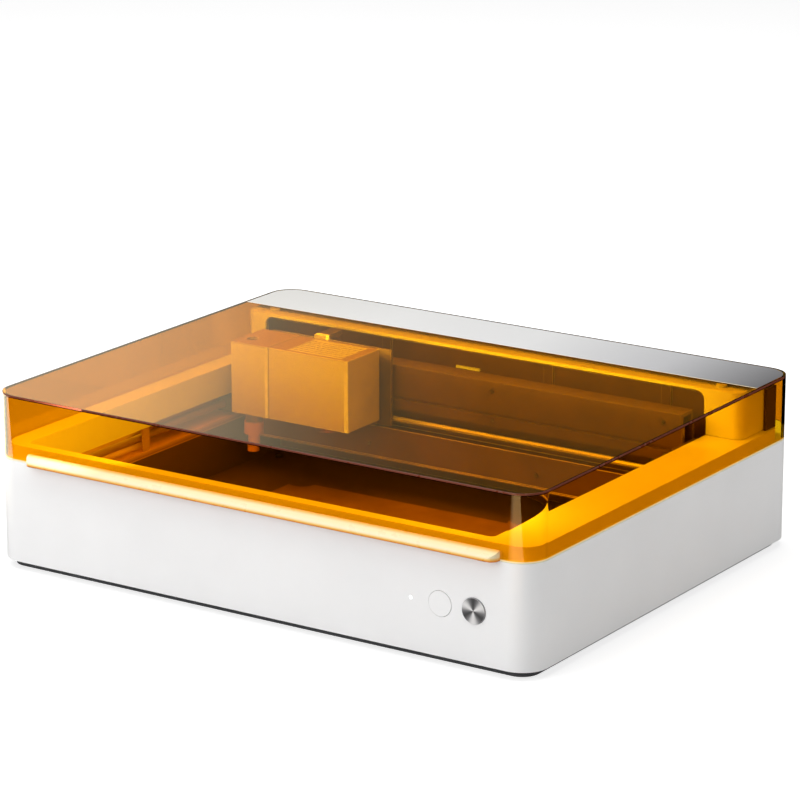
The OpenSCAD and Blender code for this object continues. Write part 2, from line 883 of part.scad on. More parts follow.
feet();
base_pan();
casing();
deck_frame();
rear_housing();
rear_panel();
chamber_liner();
bed_panel();
rail_rods();
drive_mounts();
y_belts();
y_motor();
y_motor_pulley();
mainboard();
status_led();
power_inlet();
usb_port();
exhaust_collar();
exhaust_fan_frame();
hinge_brackets();
hinge_dampers();
lid_bumpers();
power_button();
mode_button();
button_switches();
y_shaft();
y_idlers();
exhaust_rotor();
lid_shell();
lid_strip();
lid_handle();
hinge_arms();
hinge_pins();
x_beam();
x_rod();
gantry_tray();
gantry_ends();
y_bearings();
x_motor();
x_pulley();
x_idler();
x_belt();
gantry_screws();
x_carriage();
x_bushings();
z_guides();
z_motor();
z_screw();
laser_housing();
blade_housing();
vent_grille();
head_ears();
laser_barrel();
focus_lens();
heat_sink();
head_fan_frame();
head_fan_rotor();
blade_holder();
blade_nozzle();
blade();
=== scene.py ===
"""Looks of the desktop laser cutter: materials, softened edges, fine pieces, light and camera."""

import json
import math

import bmesh
import bpy
from mathutils import Matrix, Vector

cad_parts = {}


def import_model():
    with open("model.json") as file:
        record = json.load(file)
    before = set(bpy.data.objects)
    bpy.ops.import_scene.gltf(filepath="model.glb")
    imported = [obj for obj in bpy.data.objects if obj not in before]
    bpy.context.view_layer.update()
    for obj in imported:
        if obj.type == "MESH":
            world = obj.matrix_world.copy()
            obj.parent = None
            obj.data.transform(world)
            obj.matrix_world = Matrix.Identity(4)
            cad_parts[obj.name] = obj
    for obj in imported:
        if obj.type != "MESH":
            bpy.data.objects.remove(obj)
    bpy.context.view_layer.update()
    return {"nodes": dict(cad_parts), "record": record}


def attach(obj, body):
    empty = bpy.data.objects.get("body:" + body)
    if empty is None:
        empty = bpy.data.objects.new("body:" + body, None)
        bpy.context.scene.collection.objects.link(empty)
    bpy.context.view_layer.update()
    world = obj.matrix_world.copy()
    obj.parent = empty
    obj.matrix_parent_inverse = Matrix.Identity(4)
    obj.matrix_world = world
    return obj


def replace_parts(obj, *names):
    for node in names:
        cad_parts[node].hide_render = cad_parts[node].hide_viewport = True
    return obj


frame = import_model()
NODES = frame["nodes"]
BODY_OF = {n: b for b, names in frame["record"]["behaviour"]["bodies"].items() for n in names}
MM = 0.001
ACRYLIC_IOR = 1.49
SHARP_ANGLE = math.radians(40)
SMOOTH_ANGLE = 0.6

# ---------------------------------------------------------------- materials


def rgb(r, g, b):
    """Linear colour of a display colour given as 0 to 255."""
    return tuple(((c / 255 + 0.055) / 1.055) ** 2.4 if c > 10 else c / 3295 for c in (r, g, b)) + (1,)


class Shader:
    """A Principled material with short calls for the nodes that give it detail."""

    def __init__(self, name, color, rough=0.5, metal=0.0, **sockets):
        self.mat = bpy.data.materials.new(name)
        self.mat.use_nodes = True
        self.tree = self.mat.node_tree
        self.bsdf = self.tree.nodes["Principled BSDF"]
        self.bsdf.inputs["Base Color"].default_value = color
        self.bsdf.inputs["Roughness"].default_value = rough
        self.bsdf.inputs["Metallic"].default_value = metal
        for key, value in sockets.items():
            self.bsdf.inputs[key.replace("_", " ")].default_value = value
        self.color = color
        self.rough = rough

    def node(self, kind, **inputs):
        made = self.tree.nodes.new(kind)
        for key, value in inputs.items():
            if key in made.inputs:
                made.inputs[key].default_value = value
            else:
                setattr(made, key, value)
        return made

    def link(self, a, out, b, into):
        self.tree.links.new(a.outputs[out], b.inputs[into])

    def coords(self, scale=(1, 1, 1)):
        place = self.node("ShaderNodeTexCoord")
        stretch = self.node("ShaderNodeMapping")
        stretch.inputs["Scale"].default_value = scale
        self.link(place, "Object", stretch, "Vector")
        return stretch

    def noise(self, scale, stretch=(1, 1, 1), detail=3.0):
        made = self.node("ShaderNodeTexNoise", Scale=scale, Detail=detail)
        self.link(self.coords(stretch), "Vector", made, "Vector")
        return made

    def ramp(self, source, out, low, high, start=0.3, end=0.7):
        """Colours between low and high along a value."""
        made = self.node("ShaderNodeValToRGB")
        made.color_ramp.elements[0].position = start
        made.color_ramp.elements[1].position = end
        made.color_ramp.elements[0].color = low
        made.color_ramp.elements[1].color = high
        self.link(source, out, made, "Fac")
        return made

    def vary_color(self, scale, spread, stretch=(1, 1, 1)):
        """Soft patches a little lighter and darker than the base colour."""
        low = tuple(c * (1 - spread) for c in self.color[:3]) + (1,)
        high = tuple(min(1, c * (1 + spread)) for c in self.color[:3]) + (1,)
        made = self.ramp(self.noise(scale, stretch), "Fac", low, high)
        self.link(made, "Color", self.bsdf, "Base Color")
        return self

    def vary_rough(self, scale, spread, stretch=(1, 1, 1)):
        source = self.noise(scale, stretch)
        made = self.node("ShaderNodeMapRange")
        made.inputs["From Min"].default_value = 0.3
        made.inputs["From Max"].default_value = 0.7
        made.inputs["To Min"].default_value = max(0.02, self.rough - spread)
        made.inputs["To Max"].default_value = min(1, self.rough + spread)
        self.link(source, "Fac", made, "Value")
        self.link(made, "Result", self.bsdf, "Roughness")
        return self

    def grain(self, scale, height, stretch=(1, 1, 1)):
        """Fine relief, height in millimetres."""
        source = self.noise(scale, stretch, detail=2.0)
        made = self.node("ShaderNodeBump", Strength=0.5, Distance=height * MM)
        self.link(source, "Fac", made, "Height")
        self.link(made, "Normal", self.bsdf, "Normal")
        return self


def moulded(name, color, rough=0.45, relief=0.05, **sockets):
    """Injection-moulded plastic with a fine spark-eroded texture."""
    made = Shader(name, color, rough, **sockets)
    return made.vary_color(14, 0.015).vary_rough(60, 0.06).grain(1500, relief).mat


def painted(name, color, rough=0.5, relief=0.06, metal=0.0, **sockets):
    """Powder-coated sheet metal."""
    made = Shader(name, color, rough, metal, **sockets)
    return made.vary_color(30, 0.12).vary_rough(90, 0.08).grain(900, relief).mat


def brushed(name, color, rough, along, metal=1.0):
    """Metal with fine parallel scratches along one axis."""
    made = Shader(name, color, rough, metal)
    return made.vary_color(40, 0.08, along).vary_rough(60, 0.08, along).grain(90, 0.01, along).mat


def rubber(name, color):
    return Shader(name, color, 0.75).vary_color(40, 0.2).grain(700, 0.1).mat


def see_through(name, tint, cast):
    """Clear tinted sheet. Lamps pass through it in the cast colour, as through a thin pane."""
    made = Shader(name, tint, 0.0, Transmission_Weight=1.0, IOR=ACRYLIC_IOR)
    pane = made.node("ShaderNodeBsdfTransparent")
    pane.inputs["Color"].default_value = tuple(math.sqrt(c) for c in cast) + (1,)
    rays = made.node("ShaderNodeLightPath")
    pick = made.node("ShaderNodeMixShader")
    out = made.tree.nodes["Material Output"]
    made.link(rays, "Is Shadow Ray", pick, "Fac")
    made.tree.links.new(made.bsdf.outputs["BSDF"], pick.inputs[1])
    made.tree.links.new(pane.outputs["BSDF"], pick.inputs[2])
    made.tree.links.new(pick.outputs["Shader"], out.inputs["Surface"])
    return made.mat


def graded(name, stops, rough=0.4, metal=0.0, axis="X", **sockets):
    """Colour that runs along an axis of the object, in metres, through (where, colour) stops."""
    made = Shader(name, stops[0][1], rough, metal, **sockets)
    place = made.node("ShaderNodeTexCoord")
    split = made.node("ShaderNodeSeparateXYZ")
    made.link(place, "Object", split, "Vector")
    low, high = stops[0][0], stops[-1][0]
    reach = made.node("ShaderNodeMapRange")
    reach.inputs["From Min"].default_value = low
    reach.inputs["From Max"].default_value = high
    made.link(split, axis, reach, "Value")
    share = [(where - low) / (high - low) for where, _ in stops]
    tones = made.ramp(reach, "Result", stops[0][1], stops[-1][1], share[0], share[-1])
    for where, (_, tone) in zip(share[1:-1], stops[1:-1]):
        tones.color_ramp.elements.new(where).color = tone
    made.link(tones, "Color", made.bsdf, "Base Color")
    return made


# Lobes of painted reflection on the spun button: how many, and their turn.
LOBES, LOBE_TURN = 3, -1.57
BUTTON_Z, POWER_X, MODE_X = 53, 221.5, 189.0


def spun(name, x, z):
    """Turned metal face about Y through x, z: bright and dark lobes painted as reflection, and fine rings.
    """
    made = Shader(name, rgb(170, 170, 172), 0.35, 0.3)
    source = made.node("ShaderNodeTexCoord")
    place = made.node("ShaderNodeMapping")
    place.inputs["Location"].default_value = (-x, 0, -z)
    made.link(source, "Object", place, "Vector")
    split = made.node("ShaderNodeSeparateXYZ")
    made.link(place, "Vector", split, "Vector")
    angle = made.node("ShaderNodeMath", operation="ARCTAN2")
    made.link(split, "Z", angle, 0)
    made.link(split, "X", angle, 1)
    lobes = made.node("ShaderNodeMath", operation="MULTIPLY_ADD")
    lobes.inputs[1].default_value = LOBES
    lobes.inputs[2].default_value = LOBE_TURN
    made.link(angle, "Value", lobes, 0)
    wave = made.node("ShaderNodeMath", operation="COSINE")
    made.link(lobes, "Value", wave, 0)
    tones = made.node("ShaderNodeValToRGB")
    tones.color_ramp.elements[0].color = rgb(84, 84, 86)
    tones.color_ramp.elements[1].color = rgb(255, 255, 255)
    tones.color_ramp.elements.new(0.45).color = rgb(150, 150, 152)
    reach = made.node("ShaderNodeMapRange")
    reach.inputs["From Min"].default_value = -1
    made.link(wave, "Value", reach, "Value")
    made.link(reach, "Result", tones, "Fac")
    made.link(tones, "Color", made.bsdf, "Base Color")
    rings = made.node("ShaderNodeTexWave", wave_type="RINGS", rings_direction="Y", Scale=900.0)
    made.link(place, "Vector", rings, "Vector")
    relief = made.node("ShaderNodeBump", Strength=0.3, Distance=0.01 * MM)
    made.link(rings, "Fac", relief, "Height")
    made.link(relief, "Normal", made.bsdf, "Normal")
    return made.mat


AMBER = (0.92, 0.5, 0.004, 1)
WHITE = moulded("casing_white", rgb(243, 243, 243), 0.42, 0.03)
DECK = moulded("deck_white", rgb(244, 243, 240), 0.38, 0.02)
HOUSING = moulded("housing_white", rgb(238, 238, 236), 0.42, 0.03)
PAN = moulded("pan_grey", rgb(78, 78, 80), 0.5, 0.08)
WALL = painted("chamber_bronze", rgb(106, 74, 56), 0.42)
BED = painted("bed_bronze", rgb(140, 102, 80), 0.5, 0.1, Specular_IOR_Level=0.0)
MOUNT = painted("mount_dark", rgb(92, 72, 60), 0.42)
BEAM = painted("beam_bronze", rgb(116, 88, 72), 0.36, 0.02, 0.3)
LIT_EDGE = painted("lit_edge", rgb(205, 178, 150), 0.35, 0.02, 0.4)
STEEL_X = brushed("steel_x", rgb(245, 240, 228), 0.2, (1, 60, 60), metal=0.7)
RAIL = brushed("rail_bronze", rgb(176, 138, 110), 0.45, (60, 1, 60), metal=0.3)
STEEL_Z = brushed("steel_z", rgb(215, 216, 220), 0.2, (60, 60, 1))
ALUMINIUM = brushed("sink_aluminium", rgb(190, 191, 195), 0.35, (40, 40, 1))
BRONZE = brushed("bronze", rgb(196, 152, 84), 0.3, (1, 40, 40))
# Painted light: the head is darker low down and lighter up its sides, nearly white just under the top,
# with the top face a darker tan, as shade and highlight.
HEAD = graded("head_pale", [(0.0834, rgb(204, 188, 160)), (0.11, rgb(226, 216, 188)),
                            (0.135, rgb(248, 246, 218)), (0.1492, rgb(255, 254, 230)),
                            (0.1504, rgb(204, 178, 136)), (0.1508, rgb(204, 178, 136))],
              0.38, 0.05, axis="Z").vary_rough(90, 0.06).grain(900, 0.02).mat
# Painted highlight: near-white, faintly glowing finish for the head's rounded edges and a band down the
# right end of its front.
HEAD_HIGHLIGHT = painted("head_highlight", rgb(255, 253, 226), 0.3, 0.01, 0.1, Emission_Strength=0.16,
                    Emission_Color=rgb(255, 246, 200))
# Painted shade: a darker copy of the head's finish for its right side, which faces away from the light.
HEAD_SIDE_SHADE = painted("head_side_shade", rgb(208, 196, 176), 0.42, 0.02, 0.1)
# Pale finish with a faint glow, which is painted light; the grille, the wall clip and the carriage's upper
# lug carry it.
GLOWING_GRILLE = painted("grille_pale", rgb(255, 252, 216), 0.4, 0.03, Emission_Strength=0.2,
                 Emission_Color=rgb(255, 250, 180))
MOTOR = painted("motor_black", rgb(52, 50, 50), 0.4)
BELT = rubber("belt_black", rgb(30, 29, 29))
FOOT = rubber("rubber_black", rgb(30, 30, 32))
SOCKET = moulded("socket_black", rgb(30, 30, 32), 0.5, 0.06)
SCREW = brushed("screw_steel", rgb(150, 146, 140), 0.3, (40, 40, 40))
BOARD = moulded("board_green", rgb(30, 92, 58), 0.35, 0.1)
COLLAR = moulded("collar_grey", rgb(205, 205, 206), 0.45, 0.05)
BEARING = moulded("bearing_grey", rgb(96, 90, 86), 0.5, 0.05)
NOZZLE = moulded("nozzle_orange", rgb(206, 136, 74), 0.4, 0.03)
BUTTON = moulded("button_white", rgb(244, 244, 244), 0.36, 0.01)
SPUN = spun("button_spun", POWER_X * MM, BUTTON_Z * MM)
GLOW = Shader("led_glow", rgb(255, 255, 255), 0.3, Emission_Strength=1.2,
              Emission_Color=rgb(235, 245, 255)).vary_rough(200, 0.05).mat
LID = see_through("amber_acrylic", AMBER, (0.97, 0.69, 0.3))
LENS = see_through("lens_glass", (0.85, 0.93, 1.0, 1), (0.9, 0.95, 1.0))
# Painted shade: dark red-brown for the shaded underside near the handle's ends.
HANDLE_END_SHADE = moulded("handle_end_shade", rgb(120, 40, 10), 0.3, 0.01)
# Painted shade: dark brown line for the lid's top edge, where the acrylic edge looks dark.
LID_EDGE_SHADE = moulded("lid_edge_shade", rgb(112, 50, 26), 0.3, 0.005)
# Painted light: the liner is dark low down, a thin bright line is painted at 56.6 mm, and its top is
# painted lighter up to 62 mm, as highlight and light from above.
TUB = graded("tub_bronze", [(0.0125, rgb(100, 76, 60)), (0.056, rgb(104, 78, 62)),
                            (0.0566, rgb(214, 160, 124)), (0.0576, rgb(150, 108, 82)),
                            (0.062, rgb(224, 168, 130))],
             0.5, axis="Z", Specular_IOR_Level=0.0).vary_rough(90, 0.08).grain(900, 0.05).mat
SCREEN = painted("screen_bronze", rgb(196, 150, 116), 0.5)
# Painted highlight: cream, graded finish for the lid's bottom rim and the strip's front line, where light
# glints on the edges.
RIM = graded("lid_rim_highlight", [(-0.28, rgb(255, 238, 205)), (0.0, rgb(255, 244, 214)),
                         (0.28, rgb(255, 240, 190))], 0.25).vary_rough(90, 0.05).mat
# Painted light: orange-brown shade along the handle's underside, a near-white painted highlight across its
# top surface, amber again at the top edge.
HANDLE = graded("handle_amber", [(0.0998, rgb(196, 92, 14)), (0.1008, rgb(240, 150, 30)),
                                 (0.1022, rgb(244, 198, 112)), (0.1038, rgb(238, 226, 188)),
                                 (0.1068, rgb(236, 224, 184)), (0.1087, rgb(246, 170, 40))],
                0.3, axis="Z").vary_rough(120, 0.05).mat
# Painted light: the silver is lightest from the left to the middle and darker to grey at the right end, as
# reflection and shade.
STRIP = graded("strip_silver", [(-0.277, rgb(236, 236, 236)), (-0.12, rgb(255, 255, 255)),
                                (0.03, rgb(255, 255, 255)), (0.17, rgb(220, 220, 222)),
                                (0.277, rgb(130, 129, 131))], 0.34, 0.3)
STRIP = STRIP.vary_rough(80, 0.05, (1, 30, 30)).grain(120, 0.004, (1, 40, 40)).mat

FINISH = {
    WHITE: ["casing"],
    DECK: ["deck_frame"],
    HOUSING: ["rear_housing"],
    PAN: ["base_pan"],
    WALL: ["rear_panel", "gantry_tray", "z_motor"],
    TUB: ["chamber_liner"],
    BED: ["bed_panel"],
    MOUNT: ["drive_mounts", "hinge_brackets", "hinge_arms", "gantry_ends", "x_carriage", "head_ears"],
    BEAM: ["x_beam"],
    STEEL_X: ["x_rod", "y_shaft", "hinge_pins"],
    RAIL: ["rail_rods"],
    STEEL_Z: ["z_guides", "z_screw", "blade"],
    ALUMINIUM: ["heat_sink", "blade_holder"],
    BRONZE: ["x_bushings", "laser_barrel"],
    HEAD: ["laser_housing", "blade_housing"],
    GLOWING_GRILLE: ["vent_grille"],
    MOTOR: ["y_motor", "x_motor", "hinge_dampers"],
    BELT: ["y_belts", "x_belt"],
    FOOT: ["feet"],
    SOCKET: ["power_inlet", "button_switches", "exhaust_fan_frame", "exhaust_rotor",
             "head_fan_frame", "head_fan_rotor"],
    SCREW: ["usb_port", "gantry_screws", "y_motor_pulley", "y_idlers", "x_pulley", "x_idler"],
    BOARD: ["mainboard"],
    COLLAR: ["exhaust_collar", "lid_bumpers"],
    BEARING: ["y_bearings"],
    NOZZLE: ["blade_nozzle"],
    LID: ["lid_shell"],
    LENS: ["focus_lens"],
    STRIP: ["lid_strip"],
    HANDLE: ["lid_handle"],
    BUTTON: ["mode_button"],
    SPUN: ["power_button"],
    GLOW: ["status_led"],
}

for finish, names in FINISH.items():
    for name in names:
        for piece_slot in NODES[name].material_slots:
            piece_slot.material = finish

# ---------------------------------------------------------------- helpers for pieces


def add_mesh(name, bm, material, body):
    """Makes an object of a bmesh, gives it a material and lets it ride on a body."""
    mesh = bpy.data.meshes.new(name)
    bmesh.ops.recalc_face_normals(bm, faces=bm.faces)
    bm.to_mesh(mesh)
    bm.free()
    mesh.materials.append(material)
    piece = bpy.data.objects.new(name, mesh)
    bpy.context.scene.collection.objects.link(piece)
    mesh.shade_smooth()
    mesh.set_sharp_from_angle(angle=SMOOTH_ANGLE)
    even_shading(piece)
    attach(piece, body)
    return piece


def even_shading(piece):
    """Keeps the flats flat where they meet a rounded edge."""
    piece.modifiers.new("even", "WEIGHTED_NORMAL").keep_sharp = True
    graph = bpy.context.evaluated_depsgraph_get()
    even = bpy.data.meshes.new_from_object(piece.evaluated_get(graph), preserve_all_data_layers=True,
                                           depsgraph=graph)
    piece.modifiers.clear()
    piece.data = even


def cad_mesh(node):
    """Mesh of a CAD node, its doubled corners and the seams across its flats removed."""
    bm = bmesh.new()
    bm.from_mesh(NODES[node].data)
    bmesh.ops.remove_doubles(bm, verts=bm.verts, dist=2e-6)
    bmesh.ops.dissolve_limit(bm, angle_limit=math.radians(1), verts=bm.verts, edges=bm.edges)
    for face in bm.faces:
        face.material_index = 0
    return bm


def sharp_edges(bm):
    return [e for e in bm.edges if len(e.link_faces) == 2 and e.calc_face_angle(0) > SHARP_ANGLE]


def round_over(bm, edges, width, slot=-1):
    """Rounds edges over by a width in millimetres, in a material slot of their own if one is given."""
    bmesh.ops.bevel(bm, geom=edges, offset=width * MM, offset_type="OFFSET", segments=2, profile=0.5,
                    affect="EDGES", clamp_overlap=True, material=slot)


def cut_across(bm, point, normal):
    """Splits the faces along a plane, so that each side can have its own material."""
    bmesh.ops.bisect_plane(bm, geom=bm.verts[:] + bm.edges[:] + bm.faces[:], dist=1e-6,
                           plane_co=point, plane_no=normal)


def eased(node, width, edge=False):
    """Mesh of a CAD node with its sharp edges rounded over, the roundings as slot 1 if asked."""
    bm = cad_mesh(node)
    round_over(bm, sharp_edges(bm), width, 1 if edge else -1)
    return bm


def softened(node, width, edge=None):
    """Stands in for a CAD node, its sharp edges rounded over, in a material of their own where one is
    given.
    """
    bm = eased(node, width, edge=bool(edge))
    piece = add_mesh(node + "_soft", bm, NODES[node].material_slots[0].material, BODY_OF[node])
    if edge:
        piece.data.materials.append(edge)
    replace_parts(piece, node)


def slab(x0, y0, z0, x1, y1, z1):
    """Plain block between two corners, in millimetres."""
    bm = bmesh.new()
    size = Matrix.Diagonal(Vector(((x1 - x0) * MM, (y1 - y0) * MM, (z1 - z0) * MM, 1)))
    centre = Vector(((x0 + x1) / 2, (y0 + y1) / 2, (z0 + z1) / 2)) * MM
    bmesh.ops.create_cube(bm, size=1, matrix=Matrix.Translation(centre) @ size)
    return bm


def lathe(profile, centre, axis="Y", steps=72):
    """Turns (radius, along) points, in millimetres, round an axis through a centre."""
    bm = bmesh.new()
    rings = []
    for radius, along in profile:
        count = 1 if radius == 0 else steps
        ring = []
        for i in range(count):
            a = 2 * math.pi * i / steps
            u, v = radius * math.cos(a), radius * math.sin(a)
            local = {"X": (along, u, v), "Y": (u, along, v), "Z": (u, v, along)}[axis]
            ring.append(bm.verts.new((Vector(centre) + Vector(local)) * MM))
        rings.append(ring)
    for low, high in zip(rings, rings[1:]):
        for i in range(steps):
            quad = [low[i % len(low)], low[(i + 1) % len(low)],
                    high[(i + 1) % len(high)], high[i % len(high)]]
            face = list(dict.fromkeys(quad))
            if len(face) > 2:
                bm.faces.new(face)
    return bm


# ---------------------------------------------------------------- softened CAD shapes

for name, width, edge in (("casing", 0.9, None), ("rear_panel", 0.4, LIT_EDGE),
                          ("rear_housing", 1.2, None), ("base_pan", 0.5, None),
                          ("gantry_tray", 0.5, LIT_EDGE),
                          ("x_beam", 0.5, LIT_EDGE), ("bed_panel", 0.35, LIT_EDGE),
                          ("chamber_liner", 0.4, None), ("lid_handle", 0.5, None)):
    softened(name, width, edge=edge)

# ---------------------------------------------------------------- tool head

HEAD_FRONT = 45
ROD_BLOCK_FRONT, ROD_BLOCK_TOP, EAR_GAP = 103, 91, 0.3
CAP_LOW, CAP_BACK = 149.3, 105


def head_cover(node, right, band):
    """Cover with eased edges; these and a band down the right end of its front carry a painted highlight,
    and its right side painted shade.
    """
    bm = eased(node, 0.7, edge=True)
    left = (right - band) * MM
    cut_across(bm, (left, 0, 0), (1, 0, 0))
    bm.normal_update()
    for face in bm.faces:
        middle = face.calc_center_median()
        # Painted shade: faces towards +X take the darker side finish.
        if face.normal.x > 0.9:
            face.material_index = 2
        # Painted highlight: the band down the right end of the front.
        elif middle.x > left and middle.y < (HEAD_FRONT + 0.9) * MM and face.normal.y < -0.3:
            face.material_index = 1
    piece = add_mesh(node + "_soft", bm, HEAD, "head")
    piece.data.materials.append(HEAD_HIGHLIGHT)
    piece.data.materials.append(HEAD_SIDE_SHADE)
    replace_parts(piece, node)


def vent_grille():
    """Fine mesh: long bars joined by short staggered bridges, their sides painted dark as shade between
    the bars.
    """
    left, right, front, back, low, top = -151.9, -94.1, 50.1, 91.9, 148.4, 150.5
    bm = bmesh.new()
    pitch, bar, bridge, bridges = 5.8, 4.3, 2.8, 10
    rows = int((back - front) / pitch)
    step = (back - front - bar) / rows

    def block(*corners):
        part = slab(*corners)
        mesh = bpy.data.meshes.new("part")
        part.to_mesh(mesh)
        part.free()
        bm.from_mesh(mesh)
        bpy.data.meshes.remove(mesh)

    for row in range(rows + 1):
        y = front + row * step
        block(left, y, low, right, y + bar, top)
        if row < rows:
            for i in range(bridges + 1):
                x = left + (i + 0.5 * (row % 2)) * (right - left - bridge) / bridges
                if x + bridge <= right + 0.01:
                    block(x, y + bar - 0.05, low + 0.2, x + bridge, y + step + 0.05, top - 0.15)
    # The bar tops take the grille's faint glow, painted light.
    piece = add_mesh("vent_grille_mesh", bm, GLOWING_GRILLE, "head")
    piece.data.materials.append(MOUNT)
    # Painted shade: the upright sides of the bars take the dark mount finish.
    for face in piece.data.polygons:
        if abs(face.normal.z) < 0.5:
            face.material_index = 1
    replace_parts(piece, "vent_grille")


def carriage():
    """Plate behind the head, its upper lug pale where the lead screw is capped, in the grille's finish,
    which glows faintly as painted light.

    The rod block's front face is set back a little, so the head's ear slides past it freely.
    """
    bm = eased("x_carriage", 0.4, edge=True)
    for vert in bm.verts:
        if abs(vert.co.y - ROD_BLOCK_FRONT * MM) < 0.1 * MM and vert.co.z < ROD_BLOCK_TOP * MM:
            vert.co.y += EAR_GAP * MM
    cut_across(bm, (0, CAP_BACK * MM, 0), (0, 1, 0))
    for face in bm.faces:
        middle = face.calc_center_median() / MM
        if middle.z > CAP_LOW and middle.y < CAP_BACK:
            face.material_index = 2
    piece = add_mesh("x_carriage_soft", bm, MOUNT, "carriage")
    piece.data.materials.append(LIT_EDGE)
    piece.data.materials.append(GLOWING_GRILLE)
    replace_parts(piece, "x_carriage")


carriage()
head_cover("laser_housing", -83.5, 4.0)
head_cover("blade_housing", -172.2, 3.2)
vent_grille()

# ---------------------------------------------------------------- lid

LID_LOW, LID_TOP = 0.0998, 0.1583
RIM_TALL, LINE_TALL = 1.3 * MM, 1.7 * MM
LINE_BACK = 0.2
STRIP_LINE = 154.5 * MM
PAD_XS, PAD_HALF = {"left": -226, "right": 234}, 4


def lid_shell():
    """The tinted cover, a dark line painted as shade along its top edge and a pale rim painted as
    highlight along the bottom.
    """
    bm = cad_mesh("lid_shell")
    top = [e for e in bm.edges if min(v.co.z for v in e.verts) > LID_TOP - 0.1 * MM
           and any(f.calc_center_median().z < LID_TOP - 20 * MM for f in e.link_faces)]
    # The rounded top edge takes the painted dark line.
    round_over(bm, top, 0.4, 2)
    low, high = LID_LOW + RIM_TALL, LID_TOP - LINE_TALL
    for height in (low, high):
        cut_across(bm, (0, 0, height), (0, 0, 1))
    bm.normal_update()
    for face in bm.faces:
        middle = face.calc_center_median()
        # Painted highlight: the bottom 1.3 mm of the lid takes the pale rim finish.
        if middle.z < low:
            face.material_index = 1
        # Painted shade: a thin band below the top edge on the front and sides.
        elif middle.z > high and abs(face.normal.z) < 0.3 and middle.y < LINE_BACK:
            face.material_index = 2
    piece = add_mesh("lid_shell_soft", bm, LID, "lid")
    piece.data.materials.append(RIM)
    piece.data.materials.append(LID_EDGE_SHADE)
    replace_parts(piece, "lid_shell")


def lid_strip():
    """Silver band, darker to its right as painted shade, with a painted highlight along its front edge as
    a fine pale line.
    """
    bm = eased("lid_strip", 0.15)
    cut_across(bm, (0, STRIP_LINE, 0), (0, 1, 0))
    # Painted highlight: the strip's front edge takes the pale rim finish.
    for face in bm.faces:
        face.material_index = 1 if face.calc_center_median().y < STRIP_LINE else 0
    piece = add_mesh("lid_strip_soft", bm, STRIP, "lid")
    piece.data.materials.append(RIM)
    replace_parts(piece, "lid_strip")


def shade_handle_ends():
    """Small dark red-brown blocks under the handle near its two ends, painted shade for its shaded
    underside.
    """
    for side, x in PAD_XS.items():
        bm = slab(x - PAD_HALF, -229.6, 99.85, x + PAD_HALF, -226, 102.2)
        add_mesh("handle_underside_shade_" + side, bm, HANDLE_END_SHADE, "lid")


lid_shell()
lid_strip()
shade_handle_ends()

# ---------------------------------------------------------------- deck and chamber


MOUTH_XS, MOUTH_YS, MOUTH_R = (-250.5, 229), (-202.7, 176), 5
SLOT_XS, SLOT_LOW = {"left": -273.2, "right": 253.6}, 62.2
SCREW_XS, SCREW_YS, TUB_FLOOR = (-235, 212), (-188, 150), 12.45


def deck_frame():
    """White frame with its four inner corners filled out to a small radius."""
    bm = cad_mesh("deck_frame")
    corners = [(x, y) for x in MOUTH_XS for y in MOUTH_YS]

    def upright(edge):
        low, high = (v.co / MM for v in edge.verts)
        level = (low.xy - high.xy).length < 0.05
        return level and any((low.xy - Vector(c)).length < 0.3 for c in corners)

    bmesh.ops.bevel(bm, geom=[e for e in bm.edges if upright(e)], offset=MOUTH_R * MM,
                    offset_type="OFFSET", segments=8, profile=0.5, affect="EDGES")
    round_over(bm, sharp_edges(bm), 0.8)
    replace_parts(add_mesh("deck_frame_soft", bm, DECK, "base"), "deck_frame")


def chamber_fittings():
    """Clip on the dark wall, screens and a bracket in the side slots, and screws in the tub."""
    # The clip takes the grille's faintly glowing finish, painted light.
    add_mesh("wall_clip", slab(-47.7, 169.6, 122, -22.5, 171.9, 124.2), GLOWING_GRILLE, "base")
    add_mesh("wall_wing", slab(-261.8, 171.9, 112.2, -248, 174.2, 149.2), WALL, "base")
    add_mesh("slot_bracket", slab(-252.5, -39.5, 62.3, -250.8, -29.7, 83.5), SCREEN, "base")
    for side, x in SLOT_XS.items():
        add_mesh("slot_screen_" + side, slab(x, -195, SLOT_LOW, x + 0.8, 187, 99), SCREEN, "base")
    head = [(0, 0), (3.4, 0), (3.4, 0.7), (3.0, 1.2), (1.7, 1.2), (1.5, 0.5), (0, 0.5)]
    for row, (y, x) in enumerate((y, x) for y in SCREW_YS for x in SCREW_XS):
        add_mesh("tub_screw_%d" % row, lathe(head, (x, y, TUB_FLOOR), "Z", 32), SCREW, "base")


deck_frame()
chamber_fittings()

# ---------------------------------------------------------------- front panel


CASING_FRONT, SPUN_DEPTH = -221, 1.15


def buttons():
    """Spun metal power button and white mode button, each with an eased rim."""
    for node, x, finish, out in (("power_button", POWER_X, SPUN, 1.2),
                                 ("mode_button", MODE_X, BUTTON, 0.5)):
        rim = [(0, -out), (10.4, -out), (10.8, 0.1 - out), (11, 0.4 - out), (11, 3.3), (12.3, 3.3),
               (12.3, 5.2), (4, 5.2), (4, 6.6), (0, 6.6)]
        bm = lathe(rim, (x, CASING_FRONT, BUTTON_Z), "Y", 96)
        piece = add_mesh(node + "_turned", bm, finish, node)
        if node == "power_button":
            piece.data.materials.append(ALUMINIUM)
            for face in piece.data.polygons:
                if face.center.y > (CASING_FRONT - SPUN_DEPTH) * MM:
                    face.material_index = 1
        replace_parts(piece, node)


buttons()

# ---------------------------------------------------------------- stage, light and camera

CAMERA_AZ, CAMERA_EL, CAMERA_ROLL = 33.68, 16.05, -0.10
CAMERA_DISTANCE = 3.2653
CAMERA_SIDE, CAMERA_RISE = 0.00242, 0.13586
CAMERA_LENS = 165.4


